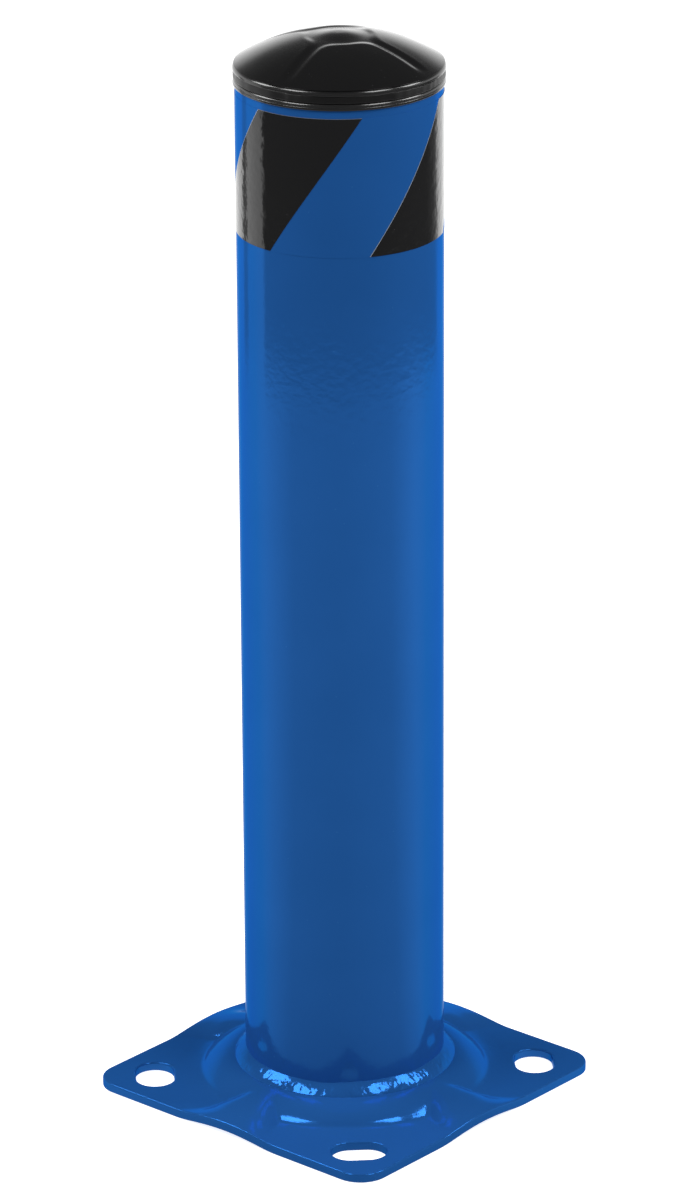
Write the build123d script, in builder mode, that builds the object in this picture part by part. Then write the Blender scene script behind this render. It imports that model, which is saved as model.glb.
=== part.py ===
from build123d import *

import os
from math import cos, radians, sin

# Steel safety bollard: a steel tube welded into a pressed square base plate, with a band of
# hazard tape under a moulded cap that plugs the top.
# Millimetres. +Z is up, the origin is the middle of the base plate's underside on the floor,
# and the plate's four sides run along X and Y.

# Tube
tube_od = 114.3
tube_wall = 4.8
tube_foot_z = 8.0
tube_top_z = 597.0
tube_rim_chamfer = 0.5

# Pressed base plate
plate_side = 208.0
plate_corner_r = 17.0
plate_t = 5.0
slot_pitch = 155.4
slot_width = 22.2
slot_length = 31.75

# Round hub in the middle of the plate
hub_top_z = 16.3
hub_flat_r = 62.0
hub_foot_r = 81.0
hub_foot_z = 6.5
pad_flat_r = 95.0
hub_hole_gap = 0.25

# Raised arms from the hub to the middle of each side, at three stations along the arm:
# distance from the middle, half width, height of the ridge, fullness, slope at the foot
arm_root = (50.0, 15.0, 16.2, 0.78, 0.9)
arm_waist = (80.0, 22.0, 13.0, 0.74, 0.7)
arm_end = (110.0, 44.0, 6.2, 0.56, 0.0)

# Weld bead round the foot of the tube
weld_toe_r = 61.9
weld_height = 6.5
weld_crown = 0.6

# Cap: plain collar, groove with its rubber band, flange, dome
overall_height = 625.0
cap_r = 58.3
collar_height = 3.9
groove_height = 4.2
groove_depth = 2.6
flange_height = 3.0
dome_shoulder = 0.6
cap_wall = 3.0
cap_edge_round = 0.6
skirt_clearance = 0.75
skirt_depth = 20.0
skirt_wall = 2.6
fin_count = 12
fin_width = 2.0
fin_gap = 0.08
fin_foot_gap = 2.0
fin_head_gap = 1.0
rib_count = 4
rib_turn = 9.0
rib_width = 2.4
rib_depth = 6.0
mould_overlap = 0.5
band_proud = 0.2
band_chamfer = 0.5

# Hazard tape
tape_height = 78.2
tape_below_rim = 4.6
film_t = 0.15
stripe_t = 0.12
stripe_count = 3
stripe_turn = -98.9
stripe_angle = 62.2
stripe_lean = 53.8
lean_steps = 10

tube_r = tube_od / 2
bore_r = tube_r - tube_wall
fill_depth = 30.0
cut_margin = 20.0


def arm_plane(turn, reach):
    """Upright plane across an arm: its x runs along the side of the plate, its y is up."""
    out = (cos(radians(turn)), sin(radians(turn)), 0)
    along = (-sin(radians(turn)), cos(radians(turn)), 0)
    return Plane(origin=(reach * out[0], reach * out[1], 0), x_dir=along, z_dir=out)


def arm_section(turn, station):
    """One section of an arm, filled down below the floor, with a crowned top."""
    reach, half_width, ridge_z, fullness, foot_slope = station
    shoulder_z = plate_t + fullness * (ridge_z - plate_t)
    with BuildSketch(arm_plane(turn, reach)) as section:
        with BuildLine():
            Polyline(
                (-half_width, plate_t),
                (-half_width, -fill_depth),
                (half_width, -fill_depth),
                (half_width, plate_t),
            )
            Spline(
                (half_width, plate_t),
                (half_width / 2, shoulder_z),
                (0, ridge_z),
                (-half_width / 2, shoulder_z),
                (-half_width, plate_t),
                tangents=((-1, foot_slope), (-1, -foot_slope)),
            )
        make_face()
    return section.sketch


# Everything below the plate's top surface, filled down past the floor
with BuildPart() as top_form:
    with BuildSketch(Plane.XY.offset(-fill_depth)):
        Rectangle(plate_side + cut_margin, plate_side + cut_margin)
    extrude(amount=fill_depth + plate_t)
    with BuildSketch(Plane.XZ):
        with BuildLine():
            Polyline((0, -fill_depth), (0, hub_top_z), (hub_flat_r, hub_top_z))
            TangentArc((hub_flat_r, hub_top_z), (hub_foot_r, hub_foot_z), tangent=(1, 0))
            TangentArc((pad_flat_r, plate_t), (hub_foot_r, hub_foot_z), tangent=(-1, 0))
            Polyline((pad_flat_r, plate_t), (pad_flat_r, -fill_depth), (0, -fill_depth))
        make_face()
    revolve(axis=Axis.Z)
    for arm_turn in (0, 90, 180, 270):
        loft(sections=[arm_section(arm_turn, station) for station in (arm_root, arm_waist, arm_end)])
    with Locations((0, 0, hub_top_z)):
        Box(
            plate_side + 2 * cut_margin,
            plate_side + 2 * cut_margin,
            fill_depth,
            align=(Align.CENTER, Align.CENTER, Align.MIN),
            mode=Mode.SUBTRACT,
        )

# The same form lowered by the plate's thickness is what is hollow below it
under_form = top_form.part.moved(Location((0, 0, -plate_t)))

with BuildPart() as base_plate:
    with BuildSketch():
        RectangleRounded(plate_side, plate_side, plate_corner_r)
    extrude(amount=hub_top_z)
    add(top_form.part, mode=Mode.INTERSECT)
    add(under_form, mode=Mode.SUBTRACT)
    with BuildSketch():
        Circle(tube_r + hub_hole_gap)
        slot_reach = slot_pitch / 2
        for corner in (45, 135, 225, 315):
            x_sign = 1 if cos(radians(corner)) > 0 else -1
            y_sign = 1 if sin(radians(corner)) > 0 else -1
            with Locations(Location((x_sign * slot_reach, y_sign * slot_reach, 0), corner + 90)):
                SlotOverall(slot_length, slot_width)
    extrude(amount=hub_top_z, mode=Mode.SUBTRACT)
base_plate.part.label = "base_plate"

# Steel tube, set down into the hub's hole
with BuildPart() as post_tube:
    with BuildSketch(Plane.XY.offset(tube_foot_z)):
        Circle(tube_r)
        Circle(bore_r, mode=Mode.SUBTRACT)
    extrude(amount=tube_top_z - tube_foot_z)
    chamfer(post_tube.edges().filter_by(GeomType.CIRCLE).group_by(Axis.Z)[-1], tube_rim_chamfer)
post_tube.part.label = "post_tube"

# Fillet weld between the hub and the tube, slightly crowned
with BuildPart() as base_weld:
    with BuildSketch(Plane.XZ):
        with BuildLine():
            weld_toe = (weld_toe_r, hub_top_z)
            weld_head = (tube_r, hub_top_z + weld_height)
            weld_middle = (
                (weld_toe[0] + weld_head[0]) / 2 + weld_crown,
                (weld_toe[1] + weld_head[1]) / 2 + weld_crown,
            )
            Polyline(weld_head, (tube_r, hub_top_z), weld_toe)
            ThreePointArc(weld_toe, weld_middle, weld_head)
        make_face()
    revolve(axis=Axis.Z)
base_weld.part.label = "base_weld"

# Heights of the cap's parts
groove_z = tube_top_z + collar_height
flange_z = groove_z + groove_height
dome_z = flange_z + flange_height
shoulder_z = dome_z + dome_shoulder
skirt_r = bore_r - skirt_clearance
skirt_z = tube_top_z - skirt_depth
groove_r = cap_r - groove_depth
hollow_top_z = flange_z
inner_crown_z = overall_height - cap_wall

# Moulded cap: domed head, groove for the band, collar that rests on the tube, hollow skirt
with BuildPart() as cap:
    with BuildSketch(Plane.XZ):
        with BuildLine():
            Polyline((0, inner_crown_z), (0, overall_height))
            ThreePointArc(
                (0, overall_height),
                (cap_r * 0.5, overall_height - (overall_height - shoulder_z) * 0.25),
                (cap_r - cap_edge_round, shoulder_z),
            )
            Polyline(
                (cap_r - cap_edge_round, shoulder_z),
                (cap_r, shoulder_z - cap_edge_round),
                (cap_r, flange_z),
                (groove_r, flange_z),
                (groove_r, groove_z),
                (cap_r, groove_z),
                (cap_r, tube_top_z),
                (skirt_r, tube_top_z),
                (skirt_r, skirt_z),
                (skirt_r - skirt_wall, skirt_z),
                (skirt_r - skirt_wall, hollow_top_z),
            )
            ThreePointArc(
                (skirt_r - skirt_wall, hollow_top_z),
                ((skirt_r - skirt_wall) * 0.5, inner_crown_z - (inner_crown_z - hollow_top_z) * 0.25),
                (0, inner_crown_z),
            )
        make_face()
    revolve(axis=Axis.Z)
    # upright fins on the skirt that centre it in the tube
    fin_root_r = skirt_r - mould_overlap
    with BuildSketch(Plane.XY.offset(skirt_z + fin_foot_gap)):
        with PolarLocations(fin_root_r, fin_count):
            Rectangle(bore_r - fin_gap - fin_root_r, fin_width, align=(Align.MIN, Align.CENTER))
    extrude(amount=skirt_depth - fin_foot_gap - fin_head_gap)
    # four ribs under the dome
    with BuildSketch(Plane.XY.offset(hollow_top_z - rib_depth)):
        with PolarLocations(0, rib_count, start_angle=rib_turn):
            Rectangle(skirt_r - skirt_wall + mould_overlap, rib_width, align=(Align.MIN, Align.CENTER))
    extrude(until=Until.NEXT)
cap.part.label = "cap"

# Rubber band seated in the cap's groove
with BuildPart() as cap_band:
    with BuildSketch(Plane.XZ):
        with BuildLine():
            band_r = cap_r + band_proud
            Polyline(
                (groove_r, groove_z),
                (band_r - band_chamfer, groove_z),
                (band_r, groove_z + band_chamfer),
                (band_r, flange_z - band_chamfer),
                (band_r - band_chamfer, flange_z),
                (groove_r, flange_z),
                close=True,
            )
        make_face()
    revolve(axis=Axis.Z)
cap_band.part.label = "cap_band"

# Tape: one film right round the tube
tape_top_z = tube_top_z - tape_below_rim
tape_foot_z = tape_top_z - tape_height
film_r = tube_r + film_t
with BuildPart() as tape_film:
    with BuildSketch(Plane.XY.offset(tape_foot_z)):
        Circle(film_r)
        Circle(tube_r, mode=Mode.SUBTRACT)
    extrude(amount=tape_height)
tape_film.part.label = "tape_film"

# Black parallelograms on the film: a thin ring, cut by wedges that turn as they rise
wedge_near_r = 0.7 * tube_r
wedge_far_r = 1.4 * tube_r
with BuildPart() as tape_stripes:
    for stripe in range(stripe_count):
        for step in range(lean_steps + 1):
            rise = step / lean_steps
            turn = stripe_turn + 360 / stripe_count * stripe - stripe_lean * (1 - rise)
            with BuildSketch(Plane.XY.offset(tape_foot_z + tape_height * rise)):
                with BuildLine():
                    first = radians(turn)
                    last = radians(turn + stripe_angle)
                    Polyline(
                        (wedge_near_r * cos(first), wedge_near_r * sin(first)),
                        (wedge_far_r * cos(first), wedge_far_r * sin(first)),
                        (wedge_far_r * cos(last), wedge_far_r * sin(last)),
                        (wedge_near_r * cos(last), wedge_near_r * sin(last)),
                        close=True,
                    )
                make_face()
        loft(ruled=True)
    with BuildSketch(Plane.XY.offset(tape_foot_z)):
        Circle(film_r + stripe_t)
        Circle(film_r, mode=Mode.SUBTRACT)
    extrude(amount=tape_height, mode=Mode.INTERSECT)
tape_stripes.part.label = "tape_stripes"

os.makedirs("parts", exist_ok=True)
for piece in (post_tube, base_plate, base_weld, cap, cap_band, tape_film, tape_stripes):
    export_step(piece.part, f"parts/{piece.part.label}.step")
    box = piece.part.bounding_box()
    print(f"{piece.part.label}: {piece.part.volume / 1000:.1f} cm3, z {box.min.Z:.1f} to {box.max.Z:.1f}")
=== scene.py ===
# %% [markdown]
# # Steel safety bollard
# A short round post is welded into a pressed square base plate. It carries a band of hazard
# tape, and a moulded black cap plugs its top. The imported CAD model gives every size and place.
# Each steel, plastic and tape piece is modelled again here with softer edges and finer form.

# %% Load the frame
from math import atan2, cos, degrees, exp, floor, hypot, pi, radians, sin, sqrt, tau

import bpy
from mathutils import Matrix, Vector, noise
from mathutils.geometry import delaunay_2d_cdt


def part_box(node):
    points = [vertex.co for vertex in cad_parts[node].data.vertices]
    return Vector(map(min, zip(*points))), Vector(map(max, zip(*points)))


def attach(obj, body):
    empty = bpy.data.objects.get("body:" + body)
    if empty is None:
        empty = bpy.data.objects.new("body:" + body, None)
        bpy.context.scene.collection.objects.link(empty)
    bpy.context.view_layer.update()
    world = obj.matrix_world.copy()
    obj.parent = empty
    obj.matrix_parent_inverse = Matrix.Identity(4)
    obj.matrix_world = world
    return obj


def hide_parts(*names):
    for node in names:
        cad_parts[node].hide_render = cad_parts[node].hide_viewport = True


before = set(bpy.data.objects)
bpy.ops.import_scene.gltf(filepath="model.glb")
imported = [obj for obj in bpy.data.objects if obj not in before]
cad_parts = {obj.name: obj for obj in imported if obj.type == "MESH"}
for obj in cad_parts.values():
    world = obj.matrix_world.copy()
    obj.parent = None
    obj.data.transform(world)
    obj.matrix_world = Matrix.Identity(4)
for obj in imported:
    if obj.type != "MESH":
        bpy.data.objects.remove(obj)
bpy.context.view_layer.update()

print("nodes:", sorted(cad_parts))

# %% [markdown]
# ## Sizes
# The frame is in metres, but a bollard is easier to think about in millimetres. Every size
# below comes from the CAD nodes' boxes, so a change in the CAD model is followed here.

# %% Sizes read from the frame
MM = 0.001
RING_STEPS = 288


def span(node):
    """Outer radius, lowest and highest z of a CAD node, in millimetres."""
    low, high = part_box(node)
    return high.x / MM, low.z / MM, high.z / MM


tube_r, tube_foot, tube_top = span("post_tube")
plate_half, _, hub_top = span("base_plate")
weld_toe_r, weld_foot, weld_head = span("base_weld")
cap_r, skirt_foot, cap_top = span("cap")
band_r, band_foot, band_top = span("cap_band")
film_r, film_foot, film_top = span("tape_film")
stripe_r, stripe_foot, stripe_top = span("tape_stripes")
TUBE_WALL = 4.8
bore_r = tube_r - TUBE_WALL
print(f"tube radius {tube_r:.2f} mm, top {tube_top:.1f} mm; plate half side {plate_half:.1f} mm")

# %% [markdown]
# ## Camera
# The camera stands a little over three metres away, well above the post, and looks down at
# it. It goes in before any piece.

# %% Camera
CAMERA_AZIMUTH = radians(41)
CAMERA_DISTANCE = 3.2293
CAMERA_HEIGHT = 1.5302
CAMERA_PITCH = radians(20.936)
CAMERA_YAW = radians(-0.032)
CAMERA_ROLL = radians(-0.339)
FOCAL_SHARE = 5.1293
SENSOR = 36.0

bpy.ops.object.camera_add()
camera = bpy.context.object
camera.name = "camera"
camera.data.sensor_width = SENSOR
camera.data.lens = FOCAL_SHARE * SENSOR
stand = Matrix.Rotation(CAMERA_AZIMUTH, 4, "Z")
aim = Matrix.Rotation(-CAMERA_YAW, 4, "Z") @ Matrix.Rotation(pi / 2 - CAMERA_PITCH, 4, "X")
tilt = Matrix.Rotation(CAMERA_ROLL, 4, "Z")
camera.matrix_world = stand @ Matrix.Translation((0, -CAMERA_DISTANCE, CAMERA_HEIGHT)) @ aim @ tilt
bpy.context.scene.camera = camera
print("camera at", [round(v, 3) for v in camera.matrix_world.translation])

# %% [markdown]
# ## Turned pieces
# The tube, the weld, the cap, its band and the tape film are all round. On a real lathe they
# would be turned; here an outline of radius and height is walked with one vertex, which leaves
# edges behind it, and then spun about the axis. One helper does this for all of them.

# %% Lathe helper
def new_vertex(name, place):
    """A mesh object of a single vertex, with its origin at the middle of the floor."""
    bpy.ops.object.select_all(action="DESELECT")
    bpy.ops.mesh.primitive_plane_add(size=MM, location=place)
    bpy.ops.object.transform_apply(location=True, rotation=True, scale=True)
    piece = bpy.context.object
    piece.name = name
    piece.data.name = name
    bpy.ops.object.mode_set(mode="EDIT")
    bpy.ops.mesh.select_all(action="SELECT")
    bpy.ops.mesh.merge(type="CENTER")
    return piece


def arc(centre, radius, start, end, steps):
    """Points on an arc in the outline's plane, angles in degrees."""
    turns = [radians(start + (end - start) * i / steps) for i in range(steps + 1)]
    return [(centre[0] + radius * cos(a), centre[1] + radius * sin(a)) for a in turns]


def lathe(name, outline, closed=True, steps=RING_STEPS):
    """Walk an outline of (radius, height) in millimetres and spin it about the axis."""
    if closed:
        outline = outline + outline[:1]
    first = outline[0]
    piece = new_vertex(name, (first[0] * MM, 0, first[1] * MM))
    for here, there in zip(outline, outline[1:]):
        move = ((there[0] - here[0]) * MM, 0, (there[1] - here[1]) * MM)
        bpy.ops.mesh.extrude_vertices_move(TRANSFORM_OT_translate={"value": move})
    bpy.ops.mesh.select_all(action="SELECT")
    bpy.ops.mesh.remove_doubles(threshold=0.002 * MM)
    bpy.ops.mesh.select_all(action="SELECT")
    bpy.ops.mesh.spin(steps=steps, angle=tau, center=(0, 0, 0), axis=(0, 0, 1))
    bpy.ops.mesh.select_all(action="SELECT")
    bpy.ops.mesh.remove_doubles(threshold=0.002 * MM)
    bpy.ops.mesh.select_all(action="SELECT")
    bpy.ops.mesh.normals_make_consistent(inside=False)
    bpy.ops.object.mode_set(mode="OBJECT")
    bpy.ops.object.shade_smooth_by_angle(angle=radians(40))
    print(f"{name}: {len(piece.data.polygons)} faces")
    return piece


def place(piece, body, node, slot):
    """The piece moves with its body and stands for its CAD node, which is hidden; the slot is not
    used.
    """
    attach(piece, body)
    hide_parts(node)


# %% [markdown]
# ## Tube
# Steel pipe with a saw-cut, deburred rim. Only its two ends need care: a small round catches
# a thin line of light under the cap, where a sharp edge would look like paper.

# %% Tube
RIM_ROUND = 0.7


def rounded_ring(inner, outer, foot, top, rounding, steps=4):
    """Outline of a ring's section with rounded corners; a close pair of points at each end of
    a long wall keeps the shading of the rounded edge from spreading down the wall."""
    r = rounding
    hold = 1.5 * r
    outline = arc((outer - r, foot + r), r, -90, 0, steps)
    outline += [(outer, foot + hold), (outer, top - hold)]
    outline += arc((outer - r, top - r), r, 0, 90, steps)
    outline += arc((inner + r, top - r), r, 90, 180, steps)
    outline += [(inner, top - hold), (inner, foot + hold)]
    outline += arc((inner + r, foot + r), r, 180, 270, steps)
    return outline


tube = lathe("tube", rounded_ring(bore_r, tube_r, tube_foot, tube_top, RIM_ROUND))
place(tube, "root", "post_tube", "blue_coat")

# %% [markdown]
# ## Pressed base plate
# The plate is stamped from one sheet: a round hub in the middle, four flat pads with a slot
# each, and four low arms that stiffen the sides. A press gives a smooth height over every
# point of the sheet, so the plate is made that way: a fine sheet of points is laid out flat,
# denser round the hub, then each point is lifted to the height of the press form. Modelling
# tools that move faces by hand can't follow such a form, so the heights come from functions.

# %% Form of the press
SHEET = 5.0
CORNER_R = 17.0
HUB_FLAT_R = 62.0
HUB_CURVE = 0.0464
HUB_EDGE_R = 81.2
HUB_EDGE_CURVE = 4.0
HUB_FOOT_R = 82.0
HUB_FOOT_Z = 6.5
PAD_FLAT_R = 95.0
ARM_RISE = 3.0
ARM_SPREAD_U = 90.0
ARM_FOOT_HALF = 38.0
ARM_SOFT_U = (84.0, 100.0)
ARM_FALL_POWER, ARM_SPREAD_POWER = 1.3, 1.5
ARM_CROWN_POWER, ARM_WAVE_POWER = 2.5, 1.5
HORN_SLOPE = 0.268
HUB_CREASE, ARM_CREASE = 0.8, 1.0


def smooth_step(low, high, x):
    """0 below low, 1 above high, smooth between."""
    t = min(1.0, max(0.0, (x - low) / (high - low)))
    return t * t * (3 - 2 * t)


def soft_max(a, b, blend):
    """The larger of two heights, with the crease between them filled over that blend."""
    near = max(blend - abs(a - b), 0.0) / blend
    return max(a, b) + near * near * blend / 4


def hub_height(r):
    """Flat top, a long gentle curve outwards, then a tight turn down at the hub's edge."""
    bend = max(0.0, r - HUB_FLAT_R) ** 2 * HUB_CURVE / 2
    edge = max(0.0, r - HUB_EDGE_R) ** 2 * HUB_EDGE_CURVE / 2
    return hub_top - bend - edge


def pad_height(r):
    """Flat pads that turn up slightly where they meet the hub."""
    if r > PAD_FLAT_R:
        return SHEET
    lift = (PAD_FLAT_R - r) / (PAD_FLAT_R - HUB_FOOT_R)
    return SHEET + (HUB_FOOT_Z - SHEET) * lift * lift


def arm_height(x, y):
    """A low arm from the hub to the middle of the nearest side, dying out along the side: its
    top is crowned near the hub and turns into a soft wave towards the side."""
    u, s = max(abs(x), abs(y)), min(abs(x), abs(y))
    fall = max(0.0, (u - HUB_FLAT_R) / (plate_half - HUB_FLAT_R)) ** ARM_FALL_POWER
    ridge = hub_top - (hub_top - SHEET - ARM_RISE) * fall
    spread = max(0.0, (u - ARM_SPREAD_U) / (plate_half - ARM_SPREAD_U)) ** ARM_SPREAD_POWER
    half = HORN_SLOPE * u + (ARM_FOOT_HALF - HORN_SLOPE * plate_half) * spread
    q = min(1.0, s / half)
    crown = 1 - q**ARM_CROWN_POWER
    wave = (1 - q * q) ** ARM_WAVE_POWER
    soft = smooth_step(*ARM_SOFT_U, u)
    return SHEET + (ridge - SHEET) * (crown * (1 - soft) + wave * soft)


def press_form(x, y):
    """Height of the sheet's top surface over the floor."""
    ground = soft_max(hub_height(hypot(x, y)), pad_height(hypot(x, y)), HUB_CREASE)
    return min(hub_top, soft_max(ground, arm_height(x, y), ARM_CREASE))


print(f"press form: hub {press_form(60, 0):.1f} mm, side {press_form(103, 0):.1f} mm")

# %% [markdown]
# ## Flat sheet of points
# The blank has a rounded square outline, a round hole for the tube and four slots set across
# its corners. Rows of points follow each cut edge closely, because the press leaves that edge
# rounded on top. Rings of points cover the hub, and a plain grid covers the rest. A Delaunay
# triangulation joins them all, and the triangles that fall in the openings are left out.

# %% Outlines of the blank
CORNER_STEPS = 14
SIDE_STEPS = 110
SLOT_PITCH = 155.4
SLOT_HALF_WIDTH = 11.1
SLOT_HALF_RUN = 4.775
SLOT_END_STEPS = 26
SLOT_SIDE_STEPS = 7
EDGE_ROUND = 1.0
HUB_HOLE_GAP = 0.25
HOLE_R = tube_r + HUB_HOLE_GAP
edge_rows = [EDGE_ROUND * (1 - cos(radians(a))) for a in (0, 20, 38, 54, 70, 90)] + [1.6, 2.6]


def square_row(inset):
    """Points round the rounded square, drawn in by that much."""
    centre, r = plate_half - CORNER_R, CORNER_R - inset
    points = []
    for side in range(4):
        turn = radians(90 * side)
        row = [(centre + r, -centre + 2 * centre * i / SIDE_STEPS) for i in range(SIDE_STEPS)]
        bend = [radians(90 * i / CORNER_STEPS) for i in range(CORNER_STEPS)]
        row += [(centre + r * cos(a), centre + r * sin(a)) for a in bend]
        points += [(x * cos(turn) - y * sin(turn), x * sin(turn) + y * cos(turn)) for x, y in row]
    return points


def slot_row(corner, outset):
    """Points round one slot, drawn out by that much; the slot lies across its corner."""
    reach = SLOT_PITCH / 2 * sqrt(2)
    r = SLOT_HALF_WIDTH + outset
    row = []
    for end in (1, -1):
        bend = [radians(180 * i / SLOT_END_STEPS) for i in range(SLOT_END_STEPS + 1)]
        row += [(end * r * cos(a), end * (SLOT_HALF_RUN + r * sin(a))) for a in bend]
        steps = [2 * i / SLOT_SIDE_STEPS - 1 for i in range(1, SLOT_SIDE_STEPS)]
        row += [(-end * r, -end * SLOT_HALF_RUN * step) for step in steps]
    turn = radians(corner)
    row = [(x + reach, y) for x, y in row]
    return [(x * cos(turn) - y * sin(turn), x * sin(turn) + y * cos(turn)) for x, y in row]


def hole_row(outset):
    """Points round the hole for the tube."""
    steps = [tau * i / RING_STEPS for i in range(RING_STEPS)]
    return [((HOLE_R + outset) * cos(a), (HOLE_R + outset) * sin(a)) for a in steps]


def to_edge(x, y):
    """Distance from a point of the blank to its nearest cut edge, below zero in an opening."""
    centre = plate_half - CORNER_R
    over_x, over_y = max(abs(x) - centre, 0), max(abs(y) - centre, 0)
    outer = CORNER_R - hypot(over_x, over_y)
    if over_x == 0 or over_y == 0:
        outer = plate_half - max(abs(x), abs(y))
    along = (abs(x) + abs(y)) / sqrt(2) - SLOT_PITCH / 2 * sqrt(2)
    across = abs(abs(x) - abs(y)) / sqrt(2)
    slot = hypot(along, max(across - SLOT_HALF_RUN, 0)) - SLOT_HALF_WIDTH
    return min(outer, slot, hypot(x, y) - HOLE_R)


print(f"edge rows at {[round(row, 2) for row in edge_rows]} mm")

# %% Sheet of points, triangulated
GRID_STEP = 1.5
RING_STEP = 1.2
GRID_CLEAR = 0.6
ring_limit = HUB_FOOT_R + 4.0

points, edges = [], []
rows = [square_row(inset) for inset in edge_rows]
rows += [slot_row(corner, outset) for corner in (45, 135, 225, 315) for outset in edge_rows]
rows += [hole_row(outset) for outset in edge_rows]
for row in rows:
    start = len(points)
    points += row
    edges += [(start + i, start + (i + 1) % len(row)) for i in range(len(row))]
ring_r = HOLE_R + edge_rows[-1] + RING_STEP
while ring_r < ring_limit:
    turns = [tau * (i + 0.5) / RING_STEPS for i in range(RING_STEPS)]
    points += [(ring_r * cos(a), ring_r * sin(a)) for a in turns]
    ring_r += RING_STEP
grid_half = floor(plate_half / GRID_STEP)
for i in range(-grid_half, grid_half + 1):
    for j in range(-grid_half, grid_half + 1):
        x, y = i * GRID_STEP, j * GRID_STEP
        if hypot(x, y) > ring_r and to_edge(x, y) > edge_rows[-1] + GRID_CLEAR * GRID_STEP:
            points.append((x, y))
joined = delaunay_2d_cdt([Vector(point) for point in points], edges, [], 1, 1e-5)
flat_points, triangles = joined[0], joined[2]


def in_sheet(triangle):
    """True for a triangle that lies in the blank, not in one of its openings."""
    middle = sum((flat_points[i] for i in triangle), Vector((0, 0))) / 3
    return to_edge(*middle) > 0


triangles = [triangle for triangle in triangles if in_sheet(triangle)]
print(f"sheet: {len(flat_points)} points, {len(triangles)} triangles")

# %% [markdown]
# ## Pressing the sheet
# Each point goes up to the press form. Near a cut edge it drops along a quarter round. The
# whole sheet is then extruded down by its thickness, and the points of the underside are set
# to the same form, without the rounding.

# %% Pressed plate
def edge_drop(x, y):
    """How far the rounded edge lies under the press form."""
    inside = max(0.0, min(to_edge(x, y), EDGE_ROUND))
    return EDGE_ROUND - sqrt(EDGE_ROUND**2 - (EDGE_ROUND - inside) ** 2)


def press_sheet(name):
    """The flat sheet lifted to the press form and given its thickness."""
    top = [(x * MM, y * MM, (press_form(x, y) - edge_drop(x, y)) * MM) for x, y in flat_points]
    mesh = bpy.data.meshes.new(name)
    mesh.from_pydata(top, [], triangles)
    piece = bpy.data.objects.new(name, mesh)
    bpy.context.collection.objects.link(piece)
    bpy.ops.object.select_all(action="DESELECT")
    piece.select_set(True)
    bpy.context.view_layer.objects.active = piece
    bpy.ops.object.mode_set(mode="EDIT")
    bpy.ops.mesh.select_all(action="SELECT")
    bpy.ops.mesh.delete_loose()
    bpy.ops.mesh.select_all(action="SELECT")
    bpy.ops.mesh.extrude_region_move(TRANSFORM_OT_translate={"value": (0, 0, -SHEET * MM)})
    bpy.ops.object.mode_set(mode="OBJECT")
    for vertex in mesh.vertices:
        if vertex.select:
            vertex.co.z = (press_form(vertex.co.x / MM, vertex.co.y / MM) - SHEET) * MM
    bpy.ops.object.mode_set(mode="EDIT")
    bpy.ops.mesh.select_all(action="SELECT")
    bpy.ops.mesh.normals_make_consistent(inside=False)
    bpy.ops.object.mode_set(mode="OBJECT")
    bpy.ops.object.shade_smooth_by_angle(angle=radians(50))
    return piece


plate = press_sheet("plate")
place(plate, "root", "base_plate", "blue_coat")
print(f"plate: {len(plate.data.polygons)} faces")

# %% [markdown]
# ## Weld
# One fillet weld runs round the foot of the tube. It was laid by hand and painted over, so its
# bead swells and narrows a little, and the ripples that the weld pool left are softened by
# paint. The bead is turned on the lathe with many steps, then its skin is moved in and out.

# %% Weld bead
WELD_STEPS = 900
WELD_ROWS = 18
TOE_SPREAD = 1.8
WELD_SWELL = 0.25
WELD_ROOT = 0.4
TOE_WANDER, HEAD_WANDER = 0.35, 0.75
RIPPLE_COUNT = 78
RIPPLE_HEIGHT = 0.05
LUMP_HEIGHT, LUMP_SIZE = 0.16, 5.0
PIT_HEIGHT, PIT_SIZE = 0.07, 1.6


def bead_wander(a):
    """Slow changes of the bead's size round the tube, about -1 to 1."""
    return 0.5 * sin(3 * a + 0.8) + 0.3 * sin(7 * a + 2.1) + 0.2 * sin(13 * a + 4.4)


def weld_outline():
    """Outline of the fillet from its toe on the hub to its head on the tube."""
    low, high = (weld_toe_r + TOE_SPREAD, weld_foot), (tube_r - 0.15, weld_head)
    face = []
    for i in range(WELD_ROWS + 1):
        t = i / WELD_ROWS
        swell = WELD_SWELL * sin(pi * t)
        r = low[0] + (high[0] - low[0]) * t + swell
        face.append((r, low[1] + (high[1] - low[1]) * t + swell))
    root_r, root_z = tube_r - 0.6, weld_foot - WELD_ROOT
    return [(root_r, root_z), (low[0], root_z)] + face + [(root_r, weld_head)]


def bead_lumps(point):
    """Height of the bead's lumps and pits at a point of its skin."""
    lumps = LUMP_HEIGHT * noise.noise(point / (LUMP_SIZE * MM))
    return lumps + PIT_HEIGHT * noise.noise(point / (PIT_SIZE * MM))


def lay_bead(piece):
    """Moves the bead's skin with the wander, the ripples of the weld pool and its lumps."""
    for vertex in piece.data.vertices:
        x, y, z = vertex.co / MM
        r, a = hypot(x, y), atan2(y, x)
        up = min(1.0, max(0.0, (z - weld_foot) / (weld_head - weld_foot)))
        if z < weld_foot - 0.1 or r < tube_r - 0.4:
            continue
        skin = sin(pi * min(1.0, up + 0.08)) ** 0.6 if up < 1 else 0.0
        phase = RIPPLE_COUNT * (a + 0.02 * sin(5 * a)) + 1.6 * (up - 0.5) ** 2 * 4
        ripple = (RIPPLE_HEIGHT * (abs(sin(phase / 2)) - 0.5) + bead_lumps(vertex.co)) * skin
        out = TOE_WANDER * bead_wander(a) * (1 - up) + ripple
        lift = HEAD_WANDER * bead_wander(a + 0.6) * up + 0.7 * ripple
        scale = (r + out) / r
        vertex.co = Vector((x * scale, y * scale, z + lift)) * MM


weld = lathe("weld", weld_outline(), steps=WELD_STEPS)
lay_bead(weld)
place(weld, "root", "base_weld", "blue_coat")

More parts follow.
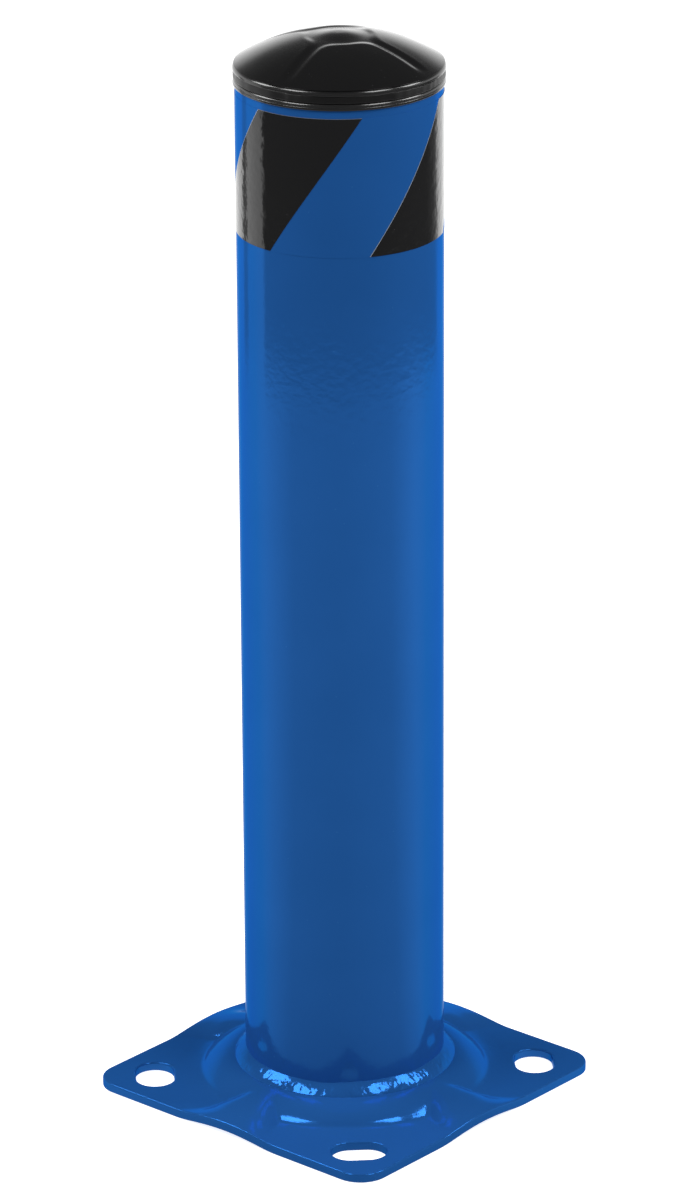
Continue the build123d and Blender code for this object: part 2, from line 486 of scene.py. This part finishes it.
# %% [markdown]
# ## Cap
# The cap is moulded in black plastic. Its dome has four raised petals with narrow valleys
# between them, round a smooth button. Below the dome come a flange, a groove for a rubber
# ring, and a collar with a fine step at its foot, which rests on the tube. A hollow skirt
# plugs the tube. The round form is turned first, and the dome's skin is then moved down
# between the petals.

# %% Cap outline
SKIRT_R = bore_r - 0.75
SKIRT_WALL = 2.6
SKIRT_EDGE = 0.6
CAP_WALL = 3.0
DOME_EDGE_R = cap_r - 0.7
DOME_DROP = 16.9
DOME_POWER = 2.0
DOME_ROWS, ROOF_ROWS = 64, 12
GROOVE_R = cap_r - 2.6
FLANGE_SOFT, FLANGE_START = 2.5, 56
COLLAR_SOFT, COLLAR_INSET = 2.1, 0.2
STEP_HEIGHT, STEP_SOFT, STEP_INSET = 1.5, 0.45, 0.1
FOOT_ROUND = 0.25


def dome_height(r):
    """Height of the dome before its petals are formed."""
    return cap_top - DOME_DROP * (r / (cap_r - 0.6)) ** DOME_POWER


def rim_step(top, foot, reach, rounding, start=90.0):
    """Outline of one step of the cap's side: a round top edge, a wall and a finer foot edge."""
    outline = arc((reach - rounding, top - rounding), rounding, start, 0, 8)
    outline += arc((reach - FOOT_ROUND, foot + FOOT_ROUND), FOOT_ROUND, 0, -80, 4)
    return outline


def cap_outline():
    """Outline of the cap from the top of the dome round to the roof of the hollow."""
    step_top = tube_top + STEP_HEIGHT
    rows = [DOME_EDGE_R * i / DOME_ROWS for i in range(DOME_ROWS + 1)]
    outline = [(r, dome_height(r)) for r in rows]
    outline += rim_step(dome_height(DOME_EDGE_R) + 0.1, band_top, cap_r, FLANGE_SOFT, FLANGE_START)
    outline += [(GROOVE_R, band_top), (GROOVE_R, band_foot)]
    outline += rim_step(band_foot, step_top, cap_r - COLLAR_INSET, COLLAR_SOFT)
    outline += rim_step(step_top, tube_top, cap_r - STEP_INSET, STEP_SOFT)
    outline += [(SKIRT_R, tube_top), (SKIRT_R, skirt_foot + SKIRT_EDGE)]
    outline += [(SKIRT_R - SKIRT_EDGE, skirt_foot)]
    inner = SKIRT_R - SKIRT_WALL
    outline += [(inner, skirt_foot), (inner, band_top)]
    rows = [inner * (1 - i / ROOF_ROWS) for i in range(1, ROOF_ROWS + 1)]
    rise = cap_top - CAP_WALL - band_top
    outline += [(r, cap_top - CAP_WALL - rise * (r / inner) ** 2) for r in rows]
    return outline


cap = lathe("cap_shell", cap_outline(), closed=False)

# %% Petals of the dome
PETAL_TURN = radians(9)
PETAL_DEPTH = 0.85
PETAL_FOOT, PETAL_SHOULDER = -0.8, 3.8
PETAL_LIP, LIP_WIDTH = 0.06, 1.6
PETAL_BLEND = 8.0
PETAL_END = (47.0, 56.5)
VALLEY_HALF = 0.9
BUTTON_R = 16.5
BUTTON_FLAT = (2.0, 15.0)


def petal_form(x, y):
    """How far the dome's skin lies under the turned dome at a point."""
    r = hypot(x, y)
    turn = (atan2(y, x) - PETAL_TURN) % (pi / 2)
    side = min(r * sin(turn), r * cos(turn)) - VALLEY_HALF
    inside = -soft_max(-side, BUTTON_R - r, PETAL_BLEND)
    on_petal = smooth_step(PETAL_FOOT, PETAL_SHOULDER, inside)
    fade = (1 - smooth_step(*PETAL_END, r)) * smooth_step(*BUTTON_FLAT, r)
    lip = PETAL_LIP * exp(-(((inside - PETAL_SHOULDER) / LIP_WIDTH) ** 2))
    return (PETAL_DEPTH * (1 - on_petal) - lip) * fade


for vertex in cap.data.vertices:
    x, y, z = vertex.co / MM
    if z > dome_height(hypot(x, y)) - 0.01:
        vertex.co.z = (z - petal_form(x, y)) * MM
place(cap, "cap", "cap", "cap_plastic")
print(f"cap: top {max(v.co.z for v in cap.data.vertices) / MM:.1f} mm")

# %% [markdown]
# ## Fins of the skirt
# Twelve upright fins stand on the skirt and centre it in the tube. Each is built by the same
# helper and turned about the axis, and the twelve are then joined into one piece.

# %% Fins
FIN_COUNT = 12
FIN_WIDTH = 2.0
FIN_GAP = 0.08
FIN_FOOT = 2.0
FIN_HEAD = 1.0
FIN_BEVEL = 0.25


def fin(turn):
    """One fin: a block from the skirt to just short of the bore, with its edges bevelled."""
    inner, outer = SKIRT_R - 0.5, bore_r - FIN_GAP
    foot, top = skirt_foot + FIN_FOOT, tube_top - FIN_HEAD
    bpy.ops.object.select_all(action="DESELECT")
    middle = ((inner + outer) / 2 * MM, 0, (foot + top) / 2 * MM)
    bpy.ops.mesh.primitive_cube_add(size=1, location=middle)
    piece = bpy.context.object
    piece.scale = ((outer - inner) * MM, FIN_WIDTH * MM, (top - foot) * MM)
    bpy.ops.object.transform_apply(location=True, rotation=False, scale=True)
    piece.rotation_euler.z = turn
    bpy.ops.object.transform_apply(location=False, rotation=True, scale=False)
    bevel = piece.modifiers.new("edges", "BEVEL")
    bevel.width = FIN_BEVEL * MM
    bevel.segments = 2
    bpy.ops.object.modifier_apply(modifier=bevel.name)
    return piece


fins = [fin(tau * i / FIN_COUNT) for i in range(FIN_COUNT)]
bpy.ops.object.select_all(action="DESELECT")
for piece in fins:
    piece.select_set(True)
bpy.context.view_layer.objects.active = fins[0]
bpy.ops.object.join()
skirt_fins = bpy.context.object
skirt_fins.name = skirt_fins.data.name = "cap_fins"
bpy.ops.object.shade_smooth_by_angle(angle=radians(40))
place(skirt_fins, "cap", "cap", "cap_plastic")
print(f"fins: {len(skirt_fins.data.polygons)} faces")

# %% [markdown]
# ## Rubber band
# A soft ring sits in the cap's groove. It isn't perfectly even: along two stretches it is
# pinched a little out of the groove, where its skin catches the light in short dashes.

# %% Band
PINCHES = [(-78, -64), (-19, 15)]
PINCH_FOOT, PINCH_HEAD, PINCH_RIPPLE = 0.25, 0.35, 0.1
BAND_SINK = 0.45
BAND_ROUND = 0.5


def pinch(a):
    """1 where the ring is squeezed out of its groove, 0 elsewhere; the angle is in degrees."""
    return max(smooth_step(first - 2, first + 1, a) - smooth_step(last - 4, last + 2, a)
               for first, last in PINCHES)


band = lathe("cap_ring", rounded_ring(GROOVE_R, band_r, band_foot, band_top, BAND_ROUND, steps=5))
for vertex in band.data.vertices:
    x, y, z = vertex.co / MM
    r, a = hypot(x, y), atan2(y, x)
    if r > GROOVE_R + 0.5:
        up = smooth_step(band_foot + 1, band_top, z)
        sway = 0.07 * sin(9 * a + 1.0) + 0.05 * sin(23 * a) + 0.04 * sin(41 * a + 2.0)
        squeezed = PINCH_FOOT + PINCH_HEAD * up + PINCH_RIPPLE * sin(60 * a)
        out = sway - BAND_SINK + pinch(degrees(a)) * squeezed
        vertex.co = Vector((x * (r + out) / r, y * (r + out) / r, z)) * MM
place(band, "cap", "cap_band", "band_rubber")

# %% [markdown]
# ## Tape
# A blue film goes right round the tube, with three black parallelograms on it. The film is a
# very thin ring. Each black piece starts as a flat grid and is wrapped round the film, leaning
# over as it rises. The grid's own UV map is kept, because a painted highlight along two of its
# edges follows it.

# %% Tape film
tape_film = lathe("film", rounded_ring(tube_r, film_r, film_foot, film_top, 0.05, steps=2))
place(tape_film, "root", "tape_film", "tape_blue")

# %% Black parallelograms
STRIPE_COUNT = 3
STRIPE_TURN = -98.9
STRIPE_ANGLE = 62.2
STRIPE_LEAN = 53.8
STRIPE_COLUMNS = 96
STRIPE_ROWS = 40


def wrap_stripe(number):
    """One black piece, wrapped on the film and given the thickness of its vinyl."""
    bpy.ops.object.select_all(action="DESELECT")
    bpy.ops.mesh.primitive_grid_add(
        x_subdivisions=STRIPE_COLUMNS, y_subdivisions=STRIPE_ROWS, size=2, location=(0, 0, 0)
    )
    piece = bpy.context.object
    piece.name = piece.data.name = f"stripe_{number + 1}"
    first = STRIPE_TURN + 360 / STRIPE_COUNT * number
    for vertex in piece.data.vertices:
        across, rise = (vertex.co.x + 1) / 2, (vertex.co.y + 1) / 2
        turn = radians(first + STRIPE_ANGLE * across - STRIPE_LEAN * (1 - rise))
        height = stripe_foot + (stripe_top - stripe_foot) * rise
        vertex.co = Vector((stripe_r * cos(turn), stripe_r * sin(turn), height)) * MM
    thickness = piece.modifiers.new("vinyl", "SOLIDIFY")
    thickness.thickness = (stripe_r - film_r) * MM
    thickness.offset = -1
    bpy.ops.object.modifier_apply(modifier=thickness.name)
    bpy.ops.object.shade_smooth_by_angle(angle=radians(40))
    place(piece, "root", "tape_stripes", "tape_black")
    return piece


stripes = [wrap_stripe(number) for number in range(STRIPE_COUNT)]
print(f"stripes: {[piece.name for piece in stripes]}")

# %% [markdown]
# ## Finishes
# Each finish is a Principled shader fed by a little noise. Two effects serve more than one
# finish, so they are node groups: a skin that is never quite flat, and fine dust that settled
# in the paint or on the plastic. Their patterns follow Object coordinates, in metres.

# %% Node helpers
def link(tree, from_socket, to_socket):
    """Joins two sockets of a node tree."""
    tree.links.new(from_socket, to_socket)


def new_group(name, inputs, outputs):
    """An empty node group with float or vector sockets."""
    group = bpy.data.node_groups.new(name, "ShaderNodeTree")
    for label, kind in inputs:
        group.interface.new_socket(name=label, in_out="INPUT", socket_type=kind)
    for label in outputs:
        group.interface.new_socket(name=label, in_out="OUTPUT", socket_type="NodeSocketFloat")
    start = group.nodes.new("NodeGroupInput")
    end = group.nodes.new("NodeGroupOutput")
    return group, start, end


def add_noise(tree, vector, scale, detail=2.0, roughness=0.5):
    """A noise texture; scale is in features per metre, as a number or a socket."""
    texture = tree.nodes.new("ShaderNodeTexNoise")
    texture.inputs["Detail"].default_value = detail
    texture.inputs["Roughness"].default_value = roughness
    link(tree, vector, texture.inputs["Vector"])
    if isinstance(scale, (int, float)):
        texture.inputs["Scale"].default_value = scale
    else:
        link(tree, scale, texture.inputs["Scale"])
    return texture.outputs["Fac"]


def add_math(tree, operation, a, b=0.0, clamp=False):
    """A Math node whose two values are numbers or sockets."""
    node = tree.nodes.new("ShaderNodeMath")
    node.operation = operation
    node.use_clamp = clamp
    for socket, value in zip(node.inputs, (a, b)):
        if isinstance(value, (int, float)):
            socket.default_value = value
        else:
            link(tree, value, socket)
    return node.outputs["Value"]


def add_range(tree, value, low, high, to_low=0.0, to_high=1.0, smooth=True):
    """Maps a value from one range to another, and holds it at the ends."""
    node = tree.nodes.new("ShaderNodeMapRange")
    node.interpolation_type = "SMOOTHSTEP" if smooth else "LINEAR"
    link(tree, value, node.inputs["Value"])
    ends = {"From Min": low, "From Max": high, "To Min": to_low, "To Max": to_high}
    for label, number in ends.items():
        node.inputs[label].default_value = number
    return node.outputs["Result"]


def add_mix(tree, factor, first, second):
    """Mixes two colours, given as numbers or sockets."""
    node = tree.nodes.new("ShaderNodeMix")
    node.data_type = "RGBA"
    link(tree, factor, node.inputs[0])
    for socket, colour in ((node.inputs[6], first), (node.inputs[7], second)):
        if isinstance(colour, tuple):
            socket.default_value = (*colour, 1.0)
        else:
            link(tree, colour, socket)
    return node.outputs[2]


# %% Group: uneven skin
VECTOR, FLOAT = "NodeSocketVector", "NodeSocketFloat"
skin_group, start, end = new_group(
    "uneven_skin", [("Vector", VECTOR), ("Scale", FLOAT), ("Fine", FLOAT)], ["Height"]
)
broad = add_noise(skin_group, start.outputs["Vector"], start.outputs["Scale"], 1.0)
fine_scale = add_math(skin_group, "MULTIPLY", start.outputs["Scale"], 3.7)
fine = add_noise(skin_group, start.outputs["Vector"], fine_scale, 2.0)
fine = add_math(skin_group, "MULTIPLY", fine, start.outputs["Fine"])
link(skin_group, add_math(skin_group, "ADD", broad, fine), end.inputs["Height"])

# %% Group: dust
dust_group, start, end = new_group(
    "settled_dust", [("Vector", VECTOR), ("Scale", FLOAT), ("Cover", FLOAT)], ["Mask"]
)
cells = dust_group.nodes.new("ShaderNodeTexVoronoi")
cells.feature = "F1"
link(dust_group, start.outputs["Vector"], cells.inputs["Vector"])
link(dust_group, start.outputs["Scale"], cells.inputs["Scale"])
near = add_range(dust_group, cells.outputs["Distance"], 0.05, 0.12, 1.0, 0.0)
pick = dust_group.nodes.new("ShaderNodeSeparateColor")
link(dust_group, cells.outputs["Color"], pick.inputs["Color"])
chosen = add_math(dust_group, "LESS_THAN", pick.outputs["Red"], start.outputs["Cover"])
link(dust_group, add_math(dust_group, "MULTIPLY", near, chosen), end.inputs["Mask"])
print("groups:", [group.name for group in bpy.data.node_groups])


# %% Material helper
def new_finish(name, roughness, specular, tint=(1.0, 1.0, 1.0)):
    """A material with a Principled shader whose constants sit on its own sockets."""
    material = bpy.data.materials.new(name)
    material.use_nodes = True
    tree = material.node_tree
    tree.nodes.clear()
    output = tree.nodes.new("ShaderNodeOutputMaterial")
    shader = tree.nodes.new("ShaderNodeBsdfPrincipled")
    shader.inputs["Roughness"].default_value = roughness
    shader.inputs["Specular IOR Level"].default_value = specular
    shader.inputs["Specular Tint"].default_value = (*tint, 1.0)
    link(tree, shader.outputs["BSDF"], output.inputs["Surface"])
    coords = tree.nodes.new("ShaderNodeTexCoord")
    return material, tree, shader, coords


def add_group(tree, group, vector, **values):
    """Places a node group and sets its numbers."""
    node = tree.nodes.new("ShaderNodeGroup")
    node.node_tree = group
    link(tree, vector, node.inputs["Vector"])
    for label, number in values.items():
        node.inputs[label].default_value = number
    return node.outputs[0]


def add_bump(tree, shader, height, distance, strength=1.0):
    """Feeds a height to the shader's normal."""
    bump = tree.nodes.new("ShaderNodeBump")
    bump.inputs["Strength"].default_value = strength
    bump.inputs["Distance"].default_value = distance
    link(tree, height, bump.inputs["Height"])
    link(tree, bump.outputs["Normal"], shader.inputs["Normal"])


# %% [markdown]
# ## Blue coat
# The steel has a thick, glossy blue coat. What it mirrors is tinted blue as well, and turns
# pale only where the light grazes it, so part of the shader is metallic and its edge tint is
# blue. Thick coat settles into a faint orange peel, a few millimetres across, with a speck of
# dust here and there.

# %% Blue coat
COAT_BLUE = (0.0172, 0.106, 0.362)
COAT_DEEP = (0.0162, 0.102, 0.35)
COAT_DUST = (0.03, 0.14, 0.41)
COAT_TINT = (0.2, 0.48, 0.95)
COAT_METALLIC = 0.3
COAT_SPECULAR = 0.0


def blue_finish(name, roughness, peel_scale, peel_height):
    """Blue with slow changes of tone, a little dust, and orange peel of that scale."""
    material, tree, shader, coords = new_finish(name, roughness, COAT_SPECULAR, COAT_TINT)
    shader.inputs["Metallic"].default_value = COAT_METALLIC
    place_on = coords.outputs["Object"]
    tone = add_range(tree, add_noise(tree, place_on, 22, 3.0), 0.3, 0.7)
    colour = add_mix(tree, tone, COAT_BLUE, COAT_DEEP)
    dust = add_group(tree, dust_group, place_on, Scale=260.0, Cover=0.05)
    link(tree, add_mix(tree, dust, colour, COAT_DUST), shader.inputs["Base Color"])
    smear = add_noise(tree, place_on, 35, 4.0)
    smear = add_range(tree, smear, 0.25, 0.75, roughness * 0.85, roughness * 1.2)
    link(tree, smear, shader.inputs["Roughness"])
    peel = add_group(tree, skin_group, place_on, Scale=peel_scale, Fine=0.12)
    add_bump(tree, shader, peel, peel_height)
    return material


blue_coat = blue_finish("blue_coat", 0.1, 240.0, 0.00006)
blue_vinyl = blue_finish("blue_vinyl", 0.12, 90.0, 0.00008)

# %% [markdown]
# ## Black finishes
# The cap is moulded plastic with a soft gloss and a very fine grain, a little greyer from the
# flange down. The rubber ring is duller. The black vinyl is glossy and slightly rippled. Along
# two sides it carries a painted highlight, a thin pale line for the light its cut edge catches,
# which follows the piece's UV map.

# %% Cap plastic and rubber
CAP_BLACK = (0.0064, 0.0064, 0.0066)
RIM_BLACK = (0.015, 0.015, 0.0152)
CAP_DUST = (0.035, 0.035, 0.036)
RUBBER_BLACK = (0.005, 0.005, 0.0052)


GREY_FROM, GREY_TO = band_top + 2.6, band_top + 1.2


def black_finish(name, dome_black, side_black, roughness, specular, grain_scale, grain_height, cover):
    """Black with dust and grain, in one colour for the dome and one from the flange down."""
    material, tree, shader, coords = new_finish(name, roughness, specular)
    place_on = coords.outputs["Object"]
    split = tree.nodes.new("ShaderNodeSeparateXYZ")
    link(tree, place_on, split.inputs["Vector"])
    side = add_range(tree, split.outputs["Z"], GREY_TO * MM, GREY_FROM * MM, 1.0, 0.0)
    black = add_mix(tree, side, dome_black, side_black)
    dust = add_group(tree, dust_group, place_on, Scale=420.0, Cover=cover)
    link(tree, add_mix(tree, dust, black, CAP_DUST), shader.inputs["Base Color"])
    smear = add_noise(tree, place_on, 60, 3.0)
    smear = add_range(tree, smear, 0.3, 0.7, roughness * 0.9, roughness * 1.15)
    link(tree, smear, shader.inputs["Roughness"])
    grain = add_group(tree, skin_group, place_on, Scale=grain_scale, Fine=0.3)
    add_bump(tree, shader, grain, grain_height)
    return material


cap_plastic = black_finish("cap_plastic", CAP_BLACK, RIM_BLACK, 0.17, 0.5, 1600.0, 0.000008, 0.1)
band_rubber = black_finish("band_rubber", RUBBER_BLACK, RUBBER_BLACK, 0.4, 0.3, 1100.0, 0.00004, 0.06)

# %% Black vinyl
VINYL_BLACK = (0.0122, 0.0122, 0.0126)
VINYL_DUST = (0.04, 0.04, 0.042)
PAINTED_EDGE_HIGHLIGHT = (0.26, 0.30, 0.34)
EDGE_ACROSS = 0.006
EDGE_TOP = 0.0032

black_vinyl, tree, shader, coords = new_finish("black_vinyl", 0.09, 0.5)
dust = add_group(tree, dust_group, coords.outputs["Object"], Scale=330.0, Cover=0.07)
colour = add_mix(tree, dust, VINYL_BLACK, VINYL_DUST)
flat = tree.nodes.new("ShaderNodeUVMap")
split = tree.nodes.new("ShaderNodeSeparateXYZ")
link(tree, flat.outputs["UV"], split.inputs["Vector"])
# Painted highlight: a thin pale line along the left edge, and a fainter one along the top, stands in
# for light caught by the vinyl's cut edge.
left_edge = add_range(tree, split.outputs["X"], EDGE_ACROSS * 0.7, EDGE_ACROSS, 1.0, 0.0)
top_edge = add_range(tree, split.outputs["Y"], 1 - EDGE_TOP, 1 - EDGE_TOP * 0.7, 0.0, 0.5)
edge = add_math(tree, "MAXIMUM", left_edge, top_edge)
link(tree, add_mix(tree, edge, colour, PAINTED_EDGE_HIGHLIGHT), shader.inputs["Base Color"])
smear = add_range(tree, add_noise(tree, coords.outputs["Object"], 40, 3.0), 0.3, 0.7, 0.08, 0.11)
link(tree, smear, shader.inputs["Roughness"])
ripple = add_group(tree, skin_group, coords.outputs["Object"], Scale=210.0, Fine=0.2)
add_bump(tree, shader, ripple, 0.00018)

# %% Finishes on their pieces
finishes = {
    blue_coat: [tube, plate, weld],
    cap_plastic: [cap, skirt_fins],
    band_rubber: [band],
    blue_vinyl: [tape_film],
    black_vinyl: stripes,
}
for material, pieces in finishes.items():
    for piece in pieces:
        piece.data.materials.clear()
        piece.data.materials.append(material)
        print(piece.name, "->", material.name)

# %% [markdown]
# ## Floor, surroundings and light
# The bollard stands in a white studio. The floor looks plain and pale. Glossy steel mirrors
# the floor strongly, so what it mirrors matters: a bright round table near the foot, darker
# floor in front, and bright floor and walls at the back. The floor's and the world's
# materials give mirror rays this lighting, and give other rays an even, soft light.

# %% Floor
FLOOR_SIZE = 24.0
TABLE_R, TABLE_SOFT = 1.35, 0.06
FLOOR_SINK = 0.2
FLOOR_GLOW, FLOOR_SEEN = 0.85, 0.8
NEAR_LIGHT = [(-180, 1.6), (-95, 1.6), (-55, 0.7), (0, 0.6), (55, 0.7), (88, 1.6), (180, 1.6)]
FAR_LIGHT = [
    (-180, 1.7), (-134, 1.7), (-132, 0.25), (-124, 0.25), (-122, 1.35), (-94, 1.3), (-91, 0.02),
    (0, 0.02), (110, 0.03), (122, 0.15), (130, 0.45), (137, 1.8), (180, 1.8),
]
LIGHT_SCALE = 2.0


def set_stops(ramp, stops):
    """Grey stops of a colour ramp; all of them are there before any takes its value."""
    keys = ramp.color_ramp.elements
    for position, _ in stops[1:-1]:
        keys.new(position)
    for key, (_, light) in zip(keys, stops):
        key.color = (light, light, light, 1.0)


def add_light_round(tree, angle, stops):
    """Brightness of mirrored light by angle round the object, from a list of stops."""
    ramp = tree.nodes.new("ShaderNodeValToRGB")
    link(tree, angle, ramp.inputs["Fac"])
    ramp.color_ramp.interpolation = "LINEAR"
    set_stops(ramp, [((turn + 180) / 360, light / LIGHT_SCALE) for turn, light in stops])
    return add_math(tree, "MULTIPLY", ramp.outputs["Color"], LIGHT_SCALE)


def add_turn_round(tree, vector):
    """Coordinates turned so that the camera stands on -Y, with the angle round from it."""
    turned = tree.nodes.new("ShaderNodeMapping")
    turned.inputs["Rotation"].default_value = (0, 0, -CAMERA_AZIMUTH)
    link(tree, vector, turned.inputs["Vector"])
    split = tree.nodes.new("ShaderNodeSeparateXYZ")
    link(tree, turned.outputs["Vector"], split.inputs["Vector"])
    front = add_math(tree, "MULTIPLY", split.outputs["Y"], -1.0)
    angle = add_math(tree, "ARCTAN2", split.outputs["X"], front)
    return split, add_range(tree, angle, -pi, pi, smooth=False)


bpy.ops.object.select_all(action="DESELECT")
bpy.ops.mesh.primitive_plane_add(size=FLOOR_SIZE, location=(0, 0, 0))
studio_floor = bpy.context.object
studio_floor.name = studio_floor.data.name = "studio_floor"
for vertex in studio_floor.data.vertices:
    vertex.co.z = -FLOOR_SINK * MM

pale_floor = bpy.data.materials.new("pale_floor")
pale_floor.use_nodes = True
tree = pale_floor.node_tree
tree.nodes.clear()
output = tree.nodes.new("ShaderNodeOutputMaterial")
path = tree.nodes.new("ShaderNodeLightPath")
coords = tree.nodes.new("ShaderNodeTexCoord")
split, angle = add_turn_round(tree, coords.outputs["Object"])
across = add_math(tree, "MULTIPLY", split.outputs["X"], split.outputs["X"])
along = add_math(tree, "MULTIPLY", split.outputs["Y"], split.outputs["Y"])
reach = add_math(tree, "SQRT", add_math(tree, "ADD", across, along))
near_light = add_light_round(tree, angle, NEAR_LIGHT)
far_light = add_light_round(tree, angle, FAR_LIGHT)
far = add_range(tree, reach, TABLE_R - TABLE_SOFT, TABLE_R + TABLE_SOFT)
kept = add_math(tree, "MULTIPLY", near_light, add_math(tree, "SUBTRACT", 1.0, far))
mirrored = add_math(tree, "ADD", kept, add_math(tree, "MULTIPLY", far_light, far))


def add_glow(tree, light):
    """Emission of a strength given as a number or a socket."""
    glow = tree.nodes.new("ShaderNodeEmission")
    if isinstance(light, float):
        glow.inputs["Strength"].default_value = light
    else:
        link(tree, light, glow.inputs["Strength"])
    return glow.outputs["Emission"]


def add_shader_mix(tree, factor, first, second):
    """Mixes two shaders by a factor's socket."""
    mix = tree.nodes.new("ShaderNodeMixShader")
    link(tree, factor, mix.inputs[0])
    link(tree, first, mix.inputs[1])
    link(tree, second, mix.inputs[2])
    return mix.outputs["Shader"]


surface = tree.nodes.new("ShaderNodeBsdfDiffuse")
surface.inputs["Color"].default_value = (0.8, 0.8, 0.8, 1.0)
lit = tree.nodes.new("ShaderNodeAddShader")
link(tree, surface.outputs["BSDF"], lit.inputs[0])
link(tree, add_glow(tree, FLOOR_GLOW), lit.inputs[1])
seen = add_glow(tree, FLOOR_SEEN)
soft = add_shader_mix(tree, path.outputs["Is Camera Ray"], seen, lit.outputs["Shader"])
both = add_shader_mix(tree, path.outputs["Is Glossy Ray"], soft, add_glow(tree, mirrored))
link(tree, both, output.inputs["Surface"])
studio_floor.data.materials.append(pale_floor)

# %% Surroundings
WALL_LIGHT = [
    (-180, 1.95), (-105, 1.95), (-85, 0.4), (0, 0.05), (80, 0.4), (100, 1.95), (180, 1.95),
]
WALL_FALL = [
    (0.0, 1.0), (0.15, 0.95), (0.28, 0.65), (0.37, 0.22), (0.45, 0.1), (0.65, 0.04), (1.0, 0.02),
]
SOFT_LIGHT = 0.3

world = bpy.data.worlds.new("studio")
bpy.context.scene.world = world
world.use_nodes = True
tree = world.node_tree
tree.nodes.clear()
output = tree.nodes.new("ShaderNodeOutputWorld")
path = tree.nodes.new("ShaderNodeLightPath")
coords = tree.nodes.new("ShaderNodeTexCoord")
split, angle = add_turn_round(tree, coords.outputs["Generated"])
wall_light = add_light_round(tree, angle, WALL_LIGHT)
fall = tree.nodes.new("ShaderNodeValToRGB")
link(tree, split.outputs["Z"], fall.inputs["Fac"])
set_stops(fall, WALL_FALL)
mirrored = add_math(tree, "MULTIPLY", wall_light, fall.outputs["Color"])
even = add_math(tree, "MAXIMUM", path.outputs["Is Camera Ray"], SOFT_LIGHT)
back = tree.nodes.new("ShaderNodeBackground")
glossy = add_math(tree, "MULTIPLY", path.outputs["Is Glossy Ray"], mirrored)
not_glossy = add_math(tree, "SUBTRACT", 1.0, path.outputs["Is Glossy Ray"])
other = add_math(tree, "MULTIPLY", not_glossy, even)
link(tree, add_math(tree, "ADD", glossy, other), back.inputs["Strength"])
link(tree, back.outputs["Background"], output.inputs["Surface"])

# %% Soft boxes
SOFT_BOX_SIZE = 0.6
SOFT_BOX_REACH = 2.0
SOFT_BOX_POWER = 13.0
SOFT_BOXES = {
    "soft_box_left": (-100, 48), "soft_box_near_left": (-57, 54),
    "soft_box_near_right": (48, 54), "soft_box_right": (91, 47),
}

for name, (turn, rise) in SOFT_BOXES.items():
    turn, rise = radians(turn), radians(rise)
    seen = Vector((sin(turn) * cos(rise), -cos(turn) * cos(rise), sin(rise)))
    side = Matrix.Rotation(CAMERA_AZIMUTH, 3, "Z") @ seen
    bpy.ops.object.light_add(type="AREA", location=side * SOFT_BOX_REACH)
    box = bpy.context.object
    box.name = name
    box.data.shape = "SQUARE"
    box.data.size = SOFT_BOX_SIZE
    box.data.energy = SOFT_BOX_POWER
    box.rotation_euler = side.to_track_quat("Z", "Y").to_euler()
    print(name, "at", [round(v, 2) for v in box.location])

bpy.context.scene.view_settings.view_transform = "Standard"
